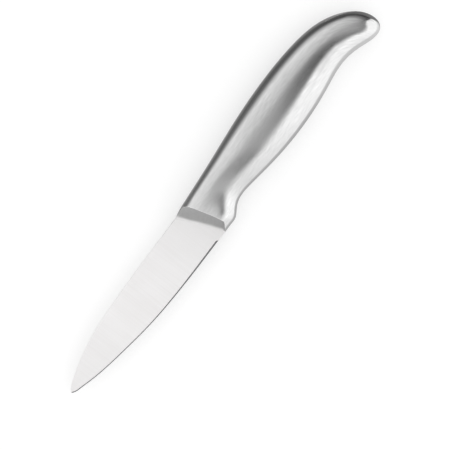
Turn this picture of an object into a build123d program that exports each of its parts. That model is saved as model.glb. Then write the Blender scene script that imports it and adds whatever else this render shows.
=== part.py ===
from build123d import *
import math
import os

# A paring knife with a hollow steel handle, in millimetres
# X runs from the tip of the blade to the tail of the handle, and Y from the cutting edge to the spine
# Z comes out of the left flank, and the mid plane is Z = 0 until the finished knife is laid on its flank
# Heights along Y are counted from the line through the tip

# Blade
blade_reach = 92.2  # tip to heel
spine_step = 1.05  # from the blade's spine up to the handle's
heel_step = 0.09  # from the heel down to the handle's chin
spine_thickness = 1.5  # at the bolster
heel_thickness = 0.5  # at the bolster, before the bevel
tip_thickness = 0.65
bevel_width = 0.85  # ground bevel at the heel
edge_land = 0.06  # thickness left at the very edge
unsharpened_length = 4.3  # plain edge left in front of the heel
shoulder_set = 2.4  # the full blade runs this far under the ramp
tang_height = 9.0
tang_reach = 25.0  # heel to the end of the tang

# Bolster
crest_lead = 2.7  # the crest meets the spine this far in front of the heel
ramp_run = 5.4  # length of the ramp along the spine
ramp_lip = 0.12  # height of the ramp's foot above the blade
bolster_land = 5.6  # crest to the weld behind the bolster
spigot_length = 5.0  # beyond that weld
spigot_fit = 0.1  # clearance between spigot and shell, all round
slot_fit = 0.05  # clearance between slot and root, all round

# Handle
handle_length = 111.5  # crest to the end of the tail
handle_depth = 26.4  # hump of the spine down to the hook of the tail
front_thickness = 11.8
middle_thickness = 14.6
tail_thickness = 14.2
dome_depth = 19.0  # the flanks close towards the tail where the handle is less deep than this
wall = 1.0

# Welds
seam_width = 1.0
ring_width = 1.0
tang_bead = 1.2  # leg of the two fillets that hold the tang

# Squareness of a section: 2 is an ellipse, and a larger value is a box with round corners
foot_squareness = 8.0
front_squareness = 3.4
middle_squareness = 2.8
tail_squareness = 2.1
front_egg_share = 0.16  # the front is this much thicker near the spine, and thinner near the belly
middle_egg_share = 0.053
closing_power = 1.5  # how roundly the tail closes

# Blade outline from the tip, as shares of the reach and of the rise or the drop
blade_spine_shares = [
    (0, 0), (0.045, 0.28), (0.1, 0.457), (0.21, 0.72), (0.32, 0.865), (0.45, 0.94), (0.64, 0.99),
]
blade_edge_shares = [
    (0, 0), (0.045, 0.2), (0.1, 0.335), (0.21, 0.545), (0.32, 0.7), (0.45, 0.855), (0.62, 0.96),
]
tip_heading = math.radians(55)

# Handle outline, as shares of its length behind the crest and of its depth above the tip line
spine_line_shares = [
    (0, 0.394), (0.187, 0.458), (0.381, 0.538), (0.561, 0.572), (0.722, 0.544), (0.848, 0.438),
]
tail_line_shares = [(0.942, 0.216), (0.986, -0.004), (1, -0.208), (0.995, -0.332), (0.98, -0.404)]
chin_line_shares = [(0.06, -0.401), (0.077, -0.403), (0.0965, -0.383), (0.1145, -0.337), (0.141, -0.277)]
belly_line_shares = [(0.177, -0.252), (0.228, -0.269), (0.327, -0.326), (0.489, -0.369), (0.682, -0.311)]
hook_line_shares = [(0.792, -0.263), (0.867, -0.318), (0.914, -0.39), (0.946, -0.423), (0.98, -0.404)]
crest_rise_share = spine_line_shares[0][1]
chin_drop_share = -chin_line_shares[0][1]
spine_heading = math.radians(4.5)  # of the spine line at the crest
tail_heading = math.radians(210)  # of the spine line where it meets the belly line

# Places of the sections, as shares of the spine line
front_shares = [0, 0.02, 0.035, 0.05, 0.07, 0.1, 0.14, 0.2]
middle_shares = [0.3, 0.42, 0.54, 0.64, 0.72, 0.79]
tail_shares = [0.85, 0.9, 0.94, 0.97, 0.985, 0.994]
belly_lead_share = 0.24  # the belly line runs ahead round the bend, so sections stay square to it
ramp_place_shares = [0, 0.12, 0.3, 0.6, 1]
foot_hollow_share = 0.2  # reach of the hollow at the ramp's foot
least_depth_share = 3  # a drawn-in section is kept where its depth is over this many insets
section_steps = 12

# Reach of the cutting blocks beyond the knife
overrun = 60.0

# The blade is as high as the handle at the crest, less a step on each side
blade_spine_rise = crest_rise_share * handle_depth - spine_step
blade_edge_drop = chin_drop_share * handle_depth - heel_step

up = Vector(0, 0, 1)
heel = Vector(blade_reach, -blade_edge_drop)
crest_start = blade_reach - crest_lead


def heading(angle):
    """Unit vector in the mid plane."""
    return Vector(math.cos(angle), math.sin(angle))


def line_through(points, start, end):
    """Smooth line through the points, paced by their distances, with a heading at each end."""
    travelled = [0]
    for before, after in zip(points, points[1:]):
        travelled.append(travelled[-1] + (after - before).length)
    return Edge.make_spline(points, tangents=[start, end], parameters=travelled, scale=False)


def handle_line(shares, start, end):
    """Line of the handle's outline from its table of shares."""
    points = [Vector(crest_start + along * handle_length, rise * handle_depth) for along, rise in shares]
    return line_through(points, start, end)


spine_shares = spine_line_shares + tail_line_shares
spine_line = handle_line(spine_shares, heading(spine_heading), heading(tail_heading))
belly_shares = chin_line_shares + belly_line_shares + hook_line_shares
belly_line = handle_line(belly_shares, heading(0), -heading(tail_heading))


def rung(share):
    """Spine end and belly end of the handle's section at a share of the spine line."""
    return spine_line @ share, belly_line @ (share + belly_lead_share * share * (1 - share))


def depth_at(share):
    """Distance from the spine to the belly at a share of the spine line."""
    spine_end, belly_end = rung(share)
    return (spine_end - belly_end).length


crest_spine, crest_belly = rung(0)
foot_spine = Vector(crest_start - ramp_run, blade_spine_rise + ramp_lip)
crest_plane = Plane(crest_belly, x_dir=(crest_spine - crest_belly).cross(up), z_dir=up)


def slab(start, end):
    """Block between two distances behind the crest, along the crest's own slant."""
    block = Box(end - start, 2 * overrun + handle_depth, 2 * overrun)
    return crest_plane.location * Pos((start + end) / 2, 0, 0) * block


def ease(share):
    """Smooth step from 0 to 1."""
    return share * share * (3 - 2 * share)


def along_handle(front, middle, tail, share):
    """Value that eases from the front to the middle of the handle, and on to its tail."""
    if share < 1 / 2:
        return front + (middle - front) * ease(2 * share)
    return middle + (tail - middle) * ease(2 * share - 1)


def superellipse(angle, squareness):
    """Place from 1 at the spine to -1 at the belly, and height from 0 to 1 and back, at an angle."""
    level, height = math.cos(angle), round(math.sin(angle), 9)
    return math.copysign(abs(level) ** (2 / squareness), level), height ** (2 / squareness)


def turn(step, start, end):
    """Angle of one step round a half section."""
    return start + (end - start) * step / section_steps


def handle_points(share, inset, base):
    """Points of the handle's section at a share of the spine line, drawn in, from a base height up."""
    spine_end, belly_end = rung(share)
    depth = (spine_end - belly_end).length
    closing = 1 - (1 - min(depth / dome_depth, 1)) ** closing_power
    half = along_handle(front_thickness, middle_thickness, tail_thickness, share) / 2 * closing - inset
    squareness = along_handle(front_squareness, middle_squareness, tail_squareness, share)
    egg = along_handle(front_egg_share, middle_egg_share, 0, share)
    middle = (spine_end + belly_end) / 2
    reach = (spine_end - belly_end) / 2 * (1 - 2 * inset / depth)
    start = math.asin((base / half / (1 + egg)) ** (squareness / 2))
    end = math.pi - math.asin((base / half / (1 - egg)) ** (squareness / 2))
    points = []
    for step in range(section_steps + 1):
        across, height = superellipse(turn(step, start, end), squareness)
        points.append(middle + reach * across + up * half * height * (1 + egg * across))
    points[0].Z = points[-1].Z = base
    return points


def half_section(points):
    """Closed wire through the points over the left flank, from spine to belly, and straight back."""
    return Wire([line_through(points, up, -up), Edge.make_line(points[-1], points[0])])


def whole_section(points):
    """Closed wire through the points over the left flank and back through their mirror image."""
    left = line_through(points, up, -up)
    return Wire([left, left.mirror(Plane.XY)])


def open_shares(inset):
    """Shares of the spine line whose sections stay open when they are drawn in by the inset."""
    shares = front_shares + middle_shares + tail_shares
    return [share for share in shares if depth_at(share) > least_depth_share * inset]


def handle_sections(inset, base, section):
    """Sections of the handle behind the crest, as far back as the inset leaves them open."""
    return [section(handle_points(share, inset, base)) for share in open_shares(inset)]


def tail_end(inset):
    """Hindmost point of the handle in its mid plane, drawn in by the inset."""
    return (spine_line @ 1) + heading(tail_heading - math.pi / 2) * inset


def handle_body(inset):
    """The handle's whole form behind the crest, drawn in by the inset."""
    return Solid.make_loft(handle_sections(inset, 0, whole_section) + [Vertex(*tail_end(inset))])


def blade_thickness(x, y):
    """Thickness of the blank, whose two faces are planes that close towards the edge and the tip."""
    fall = (spine_thickness - heel_thickness) / (blade_spine_rise + blade_edge_drop)
    gain = (heel_thickness + fall * blade_edge_drop - tip_thickness) / blade_reach
    return tip_thickness + gain * x + fall * y


def flank_plane(side, fit):
    """Plane of the blade's left face (side 1) or right face (side -1), moved out by the fit."""
    along = Vector(1, 0, side * (blade_thickness(1, 0) - blade_thickness(0, 0)) / 2)
    across = Vector(0, 1, side * (blade_thickness(0, 1) - blade_thickness(0, 0)) / 2)
    start = up * side * (blade_thickness(0, 0) / 2 + fit)
    return Plane(start, x_dir=along, z_dir=along.cross(across) * side)


def ground(profile, fit):
    """Plate of the profile, as thick as the blank and the fit on each face."""
    plate = extrude(profile, amount=spine_thickness + fit, both=True)
    for side in (1, -1):
        plate = split(plate, flank_plane(side, fit), keep=Keep.BOTTOM)
    return plate


def scaled(shares, rise):
    """Points of one blade line."""
    return [Vector(along * blade_reach, height * rise) for along, height in shares]


# Straight sides of the root behind the ramp's foot: shoulders and tang
ramp_start = Vector(foot_spine.X, blade_spine_rise)
tang_middle = ((crest_spine + crest_belly) / 2).Y
root_slant = (ramp_start - heel) / (ramp_start - heel).Y


def root_point(height):
    """Point of the shoulder line at a height above the tip line."""
    return heel + Vector(shoulder_set, 0) + root_slant * (height - heel.Y)


root_corners = [
    root_point(blade_spine_rise),
    root_point(tang_middle + tang_height / 2),
    Vector(blade_reach + tang_reach, tang_middle + tang_height / 2),
    Vector(blade_reach + tang_reach, tang_middle - tang_height / 2),
    root_point(tang_middle - tang_height / 2),
    root_point(heel.Y + shoulder_set),
]

# Blade
sharp_end = heel - Vector(unsharpened_length, 0)
blade_spine = line_through(
    scaled(blade_spine_shares, blade_spine_rise) + [ramp_start], heading(tip_heading), heading(0)
)
blade_edge = line_through(
    scaled(blade_edge_shares, -blade_edge_drop) + [sharp_end], heading(-tip_heading), heading(0)
)
foot_line = Wire.make_polygon([ramp_start, heel, sharp_end], close=False)
root_outline = Wire.make_polygon([ramp_start] + root_corners + [heel])
blank = ground(Face(Wire([blade_spine, *foot_line.edges(), blade_edge])), 0)
blank += ground(Face(root_outline), -slot_fit)


def bevel_cutter():
    """What the grinding takes off the left face along the edge: a wedge that follows the edge line."""
    steepness = (heel_thickness - edge_land) / 2 / bevel_width
    inner = 2 * bevel_width
    section = [
        Vector(-bevel_width, edge_land / 2 - bevel_width * steepness),
        Vector(inner, edge_land / 2 + inner * steepness),
        Vector(inner, 2 * spine_thickness),
        Vector(-bevel_width, 2 * spine_thickness),
    ]
    travel = blade_edge % 0
    start = Plane(blade_edge @ 0, x_dir=up.cross(travel), z_dir=travel)
    return Solid.sweep(Face(start.from_local_coords(Wire.make_polygon(section))), path=blade_edge)


def other_flank(solid):
    """Mirror image on the right flank."""
    return mirror(solid, Plane.XY)


blade = blank - bevel_cutter() - other_flank(bevel_cutter())

# Handle body, from its outer form to the hollow inside the wall
body = handle_body(0)
hollow = handle_body(wall)
left_form = Solid.make_loft(handle_sections(0, seam_width / 2, half_section))
left_hollow = Solid.make_loft(handle_sections(wall, 0, half_section))


def ramp_section(place):
    """Section of the ramp at a share of its run: flat round the blade at the foot, full at the crest."""
    climb = math.hypot(place, foot_hollow_share) - foot_hollow_share
    climb /= math.hypot(1, foot_hollow_share) - foot_hollow_share
    points = []
    for step, crest in enumerate(handle_points(0, 0, 0)):
        across, height = superellipse(turn(step, 0, math.pi), foot_squareness)
        foot = (foot_spine + heel) / 2 + (foot_spine - heel) / 2 * across
        foot += up * height * (blade_thickness(foot.X, foot.Y) / 2 + ramp_lip)
        level = Vector(foot.X, foot.Y) * (1 - place) + Vector(crest.X, crest.Y) * place
        points.append(level + up * (foot.Z + (crest.Z - foot.Z) * climb))
    return whole_section(points)


# Bolster: ramp, land, spigot inside the shells, and a slot for the blade's thinner root and tang
ramp = Solid.make_loft([ramp_section(place) for place in ramp_place_shares])
land = body & slab(0, bolster_land)
ring_end = bolster_land + ring_width
spigot_end = ring_end + spigot_length
spigot = handle_body(wall + spigot_fit) & slab(0, spigot_end)
slot_front = Vector(ramp_start.X - ramp_run, blade_spine_rise)
slot_corners = [slot_front] + root_corners + [heel, Vector(slot_front.X, heel.Y)]
slot_profile = offset(Face(Wire.make_polygon(slot_corners)), slot_fit, kind=Kind.INTERSECTION)
bolster = ramp + land + spigot - ground(slot_profile, 0)

# Welds, ground flush outside
bolster_weld = (body & slab(bolster_land, ring_end)) - hollow
handle_shell_left = (left_form - left_hollow) & slab(ring_end, handle_length + overrun)
handle_shell_right = other_flank(handle_shell_left)


def outline(inset):
    """Outline of the handle in its mid plane, drawn in by the inset, as a face."""
    spine_side, belly_side = [], []
    for share in open_shares(inset):
        spine_end, belly_end = rung(share)
        inward = (belly_end - spine_end).normalized() * inset
        spine_side.append(spine_end + inward)
        belly_side.append(belly_end - inward)
    end = heading(tail_heading)
    spine_side = line_through(spine_side + [tail_end(inset)], heading(spine_heading), end)
    belly_side = line_through(belly_side + [tail_end(inset)], heading(0), -end)
    return Face(Wire([spine_side, belly_side, Edge.make_line(belly_side @ 0, spine_side @ 0)]))


seam_weld = extrude(outline(0), amount=seam_width / 2, both=True)
seam_weld -= extrude(outline(wall), amount=seam_width, both=True)
seam_weld &= slab(ring_end, handle_length + overrun)

# Tang weld: a fillet on each face of the tang, behind the spigot
back_of_spigot = crest_plane.origin + crest_plane.x_dir * spigot_end
rung_up = crest_plane.y_dir
tang_centre = back_of_spigot + rung_up * ((tang_middle - back_of_spigot.Y) / rung_up.Y)
bead_length = tang_height - 2 * tang_bead
bead_plane = Plane(tang_centre + rung_up * bead_length / 2, x_dir=crest_plane.x_dir, z_dir=-rung_up)
tang_face = blade_thickness(tang_centre.X, tang_centre.Y) / 2 - slot_fit
bead_profile = [
    Vector(0, 0),
    Vector(tang_bead, 0),
    Vector(tang_bead, tang_face),
    Vector(0, tang_face + tang_bead),
]
bead_outline = bead_plane.from_local_coords(Wire.make_polygon(bead_profile))
left_bead = extrude(Face(bead_outline), amount=bead_length, dir=-rung_up) - blank
tang_weld = Compound([left_bead, other_flank(left_bead)])

# The knife lies on its right flank, with the origin under the middle of its box
nodes = {
    "blade": blade,
    "bolster": bolster,
    "handle_shell_left": handle_shell_left,
    "handle_shell_right": handle_shell_right,
    "seam_weld": seam_weld,
    "bolster_weld": bolster_weld,
    "tang_weld": tang_weld,
}
box = Compound(list(nodes.values())).bounding_box()
lay_down = Pos(-box.center().X, -box.center().Y, -box.min.Z)
os.makedirs("parts", exist_ok=True)
for name, solid in nodes.items():
    export_step(lay_down * solid, f"parts/{name}.step")
print("size:", box.size, "origin:", box.center().X, box.center().Y, box.min.Z)
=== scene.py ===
import logging
import math
from dataclasses import dataclass, field, replace
from enum import Enum

import bmesh
import bpy
import numpy as np
import numpy.typing as npt
from mathutils import Matrix, Vector


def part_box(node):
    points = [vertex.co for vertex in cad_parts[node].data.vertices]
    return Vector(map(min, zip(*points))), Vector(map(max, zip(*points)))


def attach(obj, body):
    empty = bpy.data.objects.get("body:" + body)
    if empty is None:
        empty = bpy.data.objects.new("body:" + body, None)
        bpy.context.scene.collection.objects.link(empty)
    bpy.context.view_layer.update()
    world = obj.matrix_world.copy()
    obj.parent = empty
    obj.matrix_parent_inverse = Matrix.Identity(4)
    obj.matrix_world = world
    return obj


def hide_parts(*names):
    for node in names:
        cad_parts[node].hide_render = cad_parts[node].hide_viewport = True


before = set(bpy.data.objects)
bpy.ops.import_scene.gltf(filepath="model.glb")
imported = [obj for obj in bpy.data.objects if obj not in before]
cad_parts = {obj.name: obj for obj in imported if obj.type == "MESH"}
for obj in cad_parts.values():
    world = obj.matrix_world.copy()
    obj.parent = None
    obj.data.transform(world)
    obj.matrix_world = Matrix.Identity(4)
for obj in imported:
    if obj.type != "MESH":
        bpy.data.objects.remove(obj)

# The looks of an all-steel paring knife: a ground blade, a blasted bolster and a brushed hollow handle
# Shapes are worked out in the maker's drawing, in millimetres: X from the tip to the tail,
# Y from the edge to the spine, and Z out of the left flank, with Z = 0 in the mid plane
# They go into the meshes in metres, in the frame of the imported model

Array = npt.NDArray[np.float64]
Object = bpy.types.Object
Material = bpy.types.Material
Tree = bpy.types.NodeTree
Node = bpy.types.Node
Socket = bpy.types.NodeSocket
log = logging.getLogger("paring_knife")

MM = 0.001
# Points of a piece that are closer than this, in metres, become one
MERGE = 1e-6
# Faces that meet more sharply than this show an edge
CREASE = math.radians(38)
# Least height of a section above its base, in millimetres
LEAST_RISE = 1e-6
# Stands in for a length of nothing where it divides
TINY = 1e-9


class Flank(Enum):
    """A side of the knife. The value is the sign of Z there."""

    LEFT = 1
    RIGHT = -1


# Lines and grids


def heading(degrees: float) -> Array:
    """Unit vector in the mid plane, at an angle from X towards Y."""
    angle = math.radians(degrees)
    return np.array([math.cos(angle), math.sin(angle)])


class PacedLine:
    """Smooth line through points in the mid plane.

    Between two points it is a cubic whose slopes make the bend run on evenly from one stretch to the next.
    The pace along it is the distance between the points, and each end has a heading.

    Fields:
        measured: Number of places that its length is measured at.
    """

    measured: int = 4001

    def __init__(self, points: list[tuple[float, float]], start: Array, end: Array) -> None:
        """Solves the slopes at the points.

        Args:
            points: The points, in millimetres.
            start: Unit heading at the first point.
            end: Unit heading at the last point.
        """
        self.points = np.array(points, float)
        gaps = np.linalg.norm(np.diff(self.points, axis=0), axis=1)
        self.pace = np.concatenate([[0.0], np.cumsum(gaps)])
        rates = np.diff(self.points, axis=0) / gaps[:, None] ** 2
        count = len(self.points)
        matrix = np.eye(count)
        wanted = np.zeros((count, 2))
        wanted[0], wanted[-1] = start, end
        inner = np.arange(1, count - 1)
        matrix[inner, inner - 1] = 1 / gaps[:-1]
        matrix[inner, inner] = 2 / gaps[:-1] + 2 / gaps[1:]
        matrix[inner, inner + 1] = 1 / gaps[1:]
        wanted[inner] = 3 * (rates[:-1] + rates[1:])
        self.slopes = np.linalg.solve(matrix, wanted)
        self.fine_pace = np.linspace(0, self.pace[-1], self.measured)
        steps = np.linalg.norm(np.diff(self._at_pace(self.fine_pace), axis=0), axis=1)
        self.fine_length = np.concatenate([[0.0], np.cumsum(steps)])

    def _at_pace(self, pace: Array) -> Array:
        """Points at distances of the pace: the cubic that meets both ends' places and slopes.

        Args:
            pace: Distances, of any shape.

        Returns:
            The points, with one more axis of two.
        """
        piece = np.clip(np.searchsorted(self.pace, pace, side="right") - 1, 0, len(self.pace) - 2)
        gap = np.diff(self.pace)[piece][..., None]
        share = (pace - self.pace[piece])[..., None] / gap
        first, last = self.points[piece], self.points[piece + 1]
        leave, arrive = self.slopes[piece] * gap, self.slopes[piece + 1] * gap
        square, cube = share**2, share**3
        return (
            first * (2 * cube - 3 * square + 1)
            + leave * (cube - 2 * square + share)
            + last * (3 * square - 2 * cube)
            + arrive * (cube - square)
        )

    @property
    def length(self) -> float:
        """Length of the line in millimetres."""
        return float(self.fine_length[-1])

    def at(self, share: Array) -> Array:
        """Points at shares of the line's length. Beyond an end it runs straight on.

        Args:
            share: Shares of the length, of any shape.

        Returns:
            The points, with one more axis of two.
        """
        inside = np.clip(share, 0, 1)
        points = self._at_pace(np.interp(inside * self.length, self.fine_length, self.fine_pace))
        before = np.minimum(share, 0)[..., None] * self.length * self.slopes[0]
        after = np.maximum(share - 1, 0)[..., None] * self.length * self.slopes[-1]
        return points + before + after


def ease(share: Array) -> Array:
    """Smooth step from 0 to 1: the share's square, times 3 less twice the share."""
    share = np.clip(share, 0, 1)
    return share * share * (3 - 2 * share)


def crowded(count: int, pull: float = 0.9) -> Array:
    """Shares from 0 to 1 that crowd towards both ends.

    Args:
        count: How many.
        pull: 0 for even steps, and just under 1 for the most crowding.

    Returns:
        The even share, less the pull times its own sine wave.
    """
    even = np.linspace(0, 1, count)
    return even - pull * np.sin(2 * math.pi * even) / (2 * math.pi)


def superellipse(angle: Array, squareness: Array | float) -> tuple[Array, Array]:
    """Half section that is an ellipse at a squareness of 2, and nearer to a box above it.

    Args:
        angle: 0 at the spine to pi at the belly.
        squareness: One value, or one for each angle.

    Returns:
        The place across, from 1 to -1, which is the cosine to the power 2 / squareness, and the height, from
        0 to 1, which is the sine to that power.
    """
    # Rounded, because the sine of pi is a trace off nothing
    level, rise = np.cos(angle), np.maximum(np.sin(angle), 0).round(9)
    power = 2 / squareness
    return np.sign(level) * np.abs(level) ** power, rise**power


def in_space(plan: Array, height: Array) -> Array:
    """Joins points of the mid plane to their heights.

    Args:
        plan: Points, with a last axis of two.
        height: Heights, of the same shape without that axis.

    Returns:
        Points with a last axis of three.
    """
    return np.concatenate([plan, np.broadcast_to(height, plan.shape[:-1])[..., None]], axis=-1)


def mirrored(points: Array) -> Array:
    """The same points on the other flank."""
    return points * np.array([1.0, 1.0, -1.0])


def both_flanks(left: Array) -> Array:
    """Loops round the knife from half loops over the left flank.

    Args:
        left: Rows of half loops, from the spine to the belly.

    Returns:
        Rows of whole loops, back over the right flank, whose last point is the first again.
    """
    return np.concatenate([left, mirrored(left[:, -2::-1])], axis=1)


def travelled(grid: Array, axis: int) -> Array:
    """Distance along one axis of a grid of points, from its start.

    Args:
        grid: Rows and columns of points.
        axis: 0 to go along the rows' order, or 1 along the columns'.

    Returns:
        One distance for each point.
    """
    steps = np.linalg.norm(np.diff(grid, axis=axis), axis=-1)
    pad = [(1, 0), (0, 0)] if axis == 0 else [(0, 0), (1, 0)]
    return np.cumsum(np.pad(steps, pad), axis=axis)


@dataclass
class Patch:
    """A grid of points in the drawing, and the finish on it.

    Fields:
        grid: Rows and columns of points, in millimetres.
        finish: Place of its finish in the piece's list.
        along_rows: True if the brushing runs from one row to the next.
    """

    grid: Array
    finish: int = 0
    along_rows: bool = True

    def quads(self, start: int) -> Array:
        """Corner numbers of the faces between neighbouring points.

        Args:
            start: Number of the grid's first point.

        Returns:
            Four corner numbers for each face.
        """
        rows, columns = self.grid.shape[:2]
        number = start + np.arange(rows * columns).reshape(rows, columns)
        corners = [number[:-1, :-1], number[1:, :-1], number[1:, 1:], number[:-1, 1:]]
        return np.stack([c.ravel() for c in corners], axis=1)

    def brush_places(self) -> Array:
        """Unrolls the patch.

        Returns:
            Place of each point in metres: travelled along the brushing, then across it.
        """
        rows, columns = travelled(self.grid, 0), travelled(self.grid, 1)
        pair = (rows, columns) if self.along_rows else (columns, rows)
        return np.stack(pair, axis=-1).reshape(-1, 2) * MM


def thick_skin(outer: Array, inner: Array, sides: bool = True) -> list[Patch]:
    """Closed skin of a sheet with a thickness: both faces, and the rims between them.

    Args:
        outer: Grid of the outer face.
        inner: Grid of the inner face, of the same shape.
        sides: False for a ring, whose last column is its first one again.

    Returns:
        The patches.
    """
    rims = [np.stack([outer[row], inner[row]]) for row in (0, -1)]
    if sides:
        rims += [np.stack([outer[:, column], inner[:, column]]) for column in (0, -1)]
    return [Patch(grid) for grid in (outer, inner, *rims)]


def put(name: str, data: bpy.types.ID) -> Object:
    """Makes an object and links it into the scene.

    Args:
        name: Its name.
        data: Its mesh, camera or lamp.

    Returns:
        The object.
    """
    made = bpy.data.objects.new(name, data)
    bpy.context.scene.collection.objects.link(made)
    return made


def make_piece(name: str, patches: list[Patch], materials: list[Material], origin: Array) -> Object:
    """Makes one closed object from its patches, in the row's frame.

    Args:
        name: Name of the piece.
        patches: Grids that meet at their borders.
        materials: Its finishes, in the order that the patches number them.
        origin: The row's origin in the drawing.

    Returns:
        The new object, at the origin, with its faces outwards.
    """
    counts = [patch.grid.shape[0] * patch.grid.shape[1] for patch in patches]
    starts = np.concatenate([[0], np.cumsum(counts)[:-1]])
    points = np.concatenate([patch.grid.reshape(-1, 3) for patch in patches])
    quads = [patch.quads(int(start)) for patch, start in zip(patches, starts)]
    finishes = np.concatenate([np.full(len(q), patch.finish, np.int32) for q, patch in zip(quads, patches)])
    places = np.concatenate([patch.brush_places() for patch in patches])
    faces = np.concatenate(quads)

    mesh = bpy.data.meshes.new(name)
    mesh.from_pydata(((points - origin) * MM).tolist(), [], faces.tolist())
    mesh.polygons.foreach_set("material_index", finishes)
    layer = mesh.uv_layers.new(name="brushing")
    layer.data.foreach_set("uv", places[faces.ravel()].ravel().astype(np.float32))

    shell = bmesh.new()
    shell.from_mesh(mesh)
    bmesh.ops.remove_doubles(shell, verts=shell.verts, dist=MERGE)
    bmesh.ops.dissolve_degenerate(shell, edges=shell.edges, dist=MERGE)
    bmesh.ops.recalc_face_normals(shell, faces=shell.faces)
    shell.to_mesh(mesh)
    shell.free()
    mesh.shade_smooth()
    mesh.set_sharp_from_angle(angle=CREASE)
    for material in materials:
        mesh.materials.append(material)
    return put(name, mesh)


# Forms, with the sizes of the maker's drawing


@dataclass(frozen=True)
class HandleForm:
    """Outer form of the handle and the bolster's land, in millimetres.

    Fields:
        crest_start: From the tip to the crest, at the spine.
        length: Crest to the end of the tail.
        depth: Hump of the spine to the hook of the tail.
        front_thickness, middle_thickness, tail_thickness: Across the flanks.
        dome_depth: The flanks close where the handle is less deep than this.
        wall: Thickness of the shells.
        front_squareness, middle_squareness, tail_squareness: 2 for an ellipse, and more for a squarer one.
        front_egg, middle_egg: Share by which a section is thicker near the spine.
        egg_growth: Share of the spine line over which the belly's side of the egg grows behind the crest.
        closing_power: How roundly the tail closes.
        belly_lead: How far the belly line runs ahead round the bend, as a share.
        spine_headings, belly_headings: Angles of the outline's lines at their ends, from X towards Y.
        spine_shares, belly_shares: Their points, as shares of the length and of the depth.
    """

    crest_start: float = 89.5
    length: float = 111.5
    depth: float = 26.4
    front_thickness: float = 11.8
    middle_thickness: float = 14.6
    tail_thickness: float = 14.2
    dome_depth: float = 19.0
    wall: float = 1.0
    front_squareness: float = 3.4
    middle_squareness: float = 2.8
    tail_squareness: float = 2.1
    front_egg: float = 0.16
    middle_egg: float = 0.053
    egg_growth: float = 0.1
    closing_power: float = 1.5
    belly_lead: float = 0.24
    spine_headings: tuple[float, float] = (4.5, 210.0)
    belly_headings: tuple[float, float] = (0.0, 30.0)
    spine_shares: tuple[tuple[float, float], ...] = (
        (0, 0.394), (0.187, 0.458), (0.381, 0.538), (0.561, 0.572), (0.722, 0.544), (0.848, 0.438),
        (0.942, 0.216), (0.986, -0.004), (1, -0.208), (0.995, -0.332), (0.98, -0.404),
    )
    belly_shares: tuple[tuple[float, float], ...] = (
        (0.06, -0.401), (0.077, -0.403), (0.0965, -0.383), (0.1145, -0.337), (0.141, -0.277),
        (0.177, -0.252), (0.228, -0.269), (0.327, -0.326), (0.489, -0.369), (0.682, -0.311),
        (0.792, -0.263), (0.867, -0.318), (0.914, -0.39), (0.946, -0.423), (0.98, -0.404),
    )
    spine_line: PacedLine = field(init=False, repr=False)
    belly_line: PacedLine = field(init=False, repr=False)

    def __post_init__(self) -> None:
        """Draws the two lines of the outline from their shares of the length and the depth."""
        for name, shares, (start, end) in (
            ("spine_line", self.spine_shares, self.spine_headings),
            ("belly_line", self.belly_shares, self.belly_headings),
        ):
            points = [(self.crest_start + along * self.length, rise * self.depth) for along, rise in shares]
            object.__setattr__(self, name, PacedLine(points, heading(start), heading(end)))

    def rung(self, share: Array) -> tuple[Array, Array]:
        """Ends of the sections at shares of the spine line.

        Args:
            share: Shares, below zero in front of the crest.

        Returns:
            The spine ends, and the belly ends, which lead by the lead times share times (1 - share).
        """
        lead = self.belly_lead * share * (1 - share)
        return self.spine_line.at(share), self.belly_line.at(share + lead)

    def eased(self, front: float, middle: float, tail: float, share: Array) -> Array:
        """Value that eases from the front to the middle of the handle, and on to its tail.

        Args:
            front, middle, tail: The three values.
            share: Shares of the spine line.

        Returns:
            The value at each share.
        """
        return front + (middle - front) * ease(2 * share) + (tail - middle) * ease(2 * share - 1)

    def half_thickness(self, share: Array, inset: float) -> Array:
        """Half the thickness at shares of the spine line, less the inset.

        Args:
            share: Shares of the spine line.
            inset: How far the form is drawn in, in millimetres.

        Returns:
            Half the eased thickness times 1 - (1 - depth / dome depth) to the closing power.
        """
        spine, belly = self.rung(share)
        depth = np.linalg.norm(spine - belly, axis=-1)
        closing = 1 - (1 - np.minimum(depth / self.dome_depth, 1)) ** self.closing_power
        thickness = self.eased(self.front_thickness, self.middle_thickness, self.tail_thickness, share)
        return thickness / 2 * closing - inset

    def surface(self, share: Array, turn: Array, inset: float = 0.0, base: float = 0.0) -> Array:
        """Points over the left flank.

        Each section is a superellipse. Its height is larger near the spine by the egg's share, and smaller
        near the belly once the egg has grown.

        Args:
            share: Shares of the spine line, one for each point.
            turn: 0 at the spine to 1 at the belly, one for each point of a row.
            inset: How far the form is drawn in.
            base: Height at which the half section starts and ends.

        Returns:
            Points of the drawing.
        """
        spine, belly = self.rung(share)
        depth = np.linalg.norm(spine - belly, axis=-1)
        half = np.maximum(self.half_thickness(share, inset), base + LEAST_RISE)
        squareness = self.eased(self.front_squareness, self.middle_squareness, self.tail_squareness, share)
        egg = self.eased(self.front_egg, self.middle_egg, 0.0, share)
        grown = ease(share / self.egg_growth)
        start, rest = (
            np.arcsin(np.clip(base / half / swell, 0, 1) ** (squareness / 2))
            for swell in (1 + egg, 1 - egg * grown)
        )
        across, rise = superellipse(start + (math.pi - rest - start) * turn, squareness)
        lean = egg * across * (1 - (1 - grown) * ease(0.5 - across))
        reach = (spine - belly) / 2 * (1 - 2 * inset / depth)[..., None]
        plan = (spine + belly) / 2 + reach * across[..., None]
        return in_space(plan, np.where((turn == 0) | (turn == 1), base, half * rise * (1 + lean)))

    def behind_crest(self, points: Array) -> Array:
        """Distance behind the crest.

        Args:
            points: Points of the drawing.

        Returns:
            How far each lies behind the slanted line from the spine end to the belly end of the crest.
        """
        spine, belly = self.rung(np.zeros(1))
        slant = (spine - belly)[0] / np.linalg.norm(spine - belly)
        return (points[..., :2] - belly[0]) @ np.array([slant[1], -slant[0]])

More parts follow.
